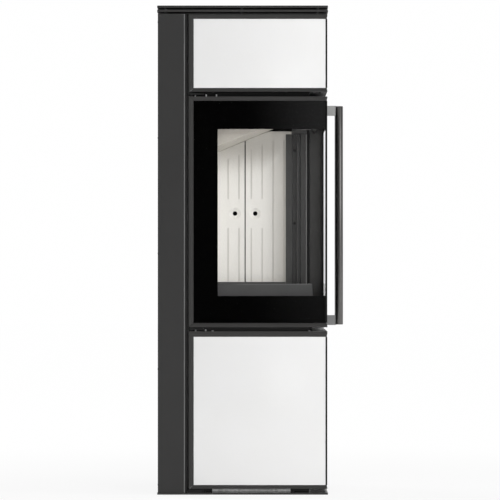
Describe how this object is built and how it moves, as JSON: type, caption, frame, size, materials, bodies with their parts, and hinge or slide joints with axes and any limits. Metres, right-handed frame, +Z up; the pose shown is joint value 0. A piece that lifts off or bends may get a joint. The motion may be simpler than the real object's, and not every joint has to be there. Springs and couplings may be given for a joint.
{
  "type": "tiled wood stove",
  "caption": "Tall square wood stove clad in flat white tiles, with an L-shaped corner-glazed door, long bar handle, tiled lower door and air slide.",
  "frame": {"origin": "on the floor, at the centre of the base plate's underside", "axes": "+Z up, -Y towards the front door, -X towards the glazed side"},
  "size_m": [0.504, 0.5839, 1.5],
  "materials": {
    "casing_paint": "fine matt heat-proof paint, anthracite",
    "frame_paint": "fine matt heat-proof paint, anthracite",
    "inner_steel": "matt black",
    "fire_steel": "matt dark grey, slightly sooted",
    "white_tile": "glossy white glaze",
    "door_glass": "heat-proof glass with black printed border",
    "lining": "pale pressed vermiculite",
    "stainless": "satin",
    "galvanised": "galvanised sheet",
    "cast_iron": "raw casting",
    "rope_seal": "woven glass-fibre rope"
  },
  "bodies": {
    "root": {"base_plate": "casing_paint", "second_plate": "casing_paint", "top_plate": "casing_paint", "hood_frame": "casing_paint", "rear_casing": "casing_paint", "right_casing": "casing_paint", "left_channel_liner": "inner_steel", "plinth": "inner_steel", "compartment_floor": "inner_steel", "compartment_walls": "inner_steel", "corner_post": "inner_steel", "lower_door_magnet": "inner_steel", "air_duct": "galvanised", "firebox_carrier": "inner_steel", "firebox_floor": "fire_steel", "opening_sill": "fire_steel", "firebox_walls": "fire_steel", "opening_rear_post": "fire_steel", "upper_shell": "fire_steel", "firebox_top": "fire_steel", "flue_outlet": "fire_steel", "opening_front_post": "fire_steel", "lining_side_front": "lining", "lining_side_rear": "lining", "lining_rear": "lining", "lower_baffle": "lining", "upper_baffle": "fire_steel", "hearth_slab": "lining", "grate": "cast_iron", "ash_pan": "galvanised", "hearth_frame": "fire_steel", "log_guard": "fire_steel", "air_wash_strip": "stainless", "lower_hinge_bracket": "inner_steel", "middle_hinge_bracket": "inner_steel", "upper_hinge_bracket": "inner_steel", "lower_latch_keeper": "galvanised", "upper_latch_keeper": "galvanised", "upper_tray_hanger": "inner_steel", "upper_tile_tray": "frame_paint", "upper_side_tile": "white_tile", "upper_front_tile": "white_tile"},
    "firebox_door": {"door_rear_post": "frame_paint", "door_bottom_rail": "frame_paint", "door_top_rail": "frame_paint", "door_handle_post": "frame_paint", "door_side_glass": "door_glass", "door_front_glass": "door_glass", "glass_corner_strip": "inner_steel", "glass_clamp_lower": "inner_steel", "glass_clamp_upper": "inner_steel", "door_seal": "rope_seal"},
    "door_handle": {"handle_bar": "stainless", "handle_lower_arm": "stainless", "handle_upper_arm": "stainless", "latch_spindle": "stainless"},
    "lower_door": {"lower_door_tray": "frame_paint", "lower_side_tile": "white_tile", "lower_front_tile": "white_tile"},
    "air_control": {"air_slide": "stainless"}
  },
  "joints": [
    {"name": "firebox_door_swing", "type": "hinge", "parent": "root", "child": "firebox_door", "pos_m": [-0.242, 0.158, 0.868], "axis": [0, 0, -1], "range_deg": [0, 95]},
    {"name": "handle_turn", "type": "hinge", "parent": "firebox_door", "child": "door_handle", "pos_m": [0.2425, -0.237, 0.868], "axis": [0, 0, 1], "range_deg": [-9, 20]},
    {"name": "lower_door_swing", "type": "hinge", "parent": "root", "child": "lower_door", "pos_m": [-0.242, 0.158, 0.26], "axis": [0, 0, -1], "range_deg": [0, 95]},
    {"name": "air_lever_slide", "type": "slide", "parent": "root", "child": "air_control", "axis": [1, 0, 0], "range_m": [0, 0.05]}
  ]
}
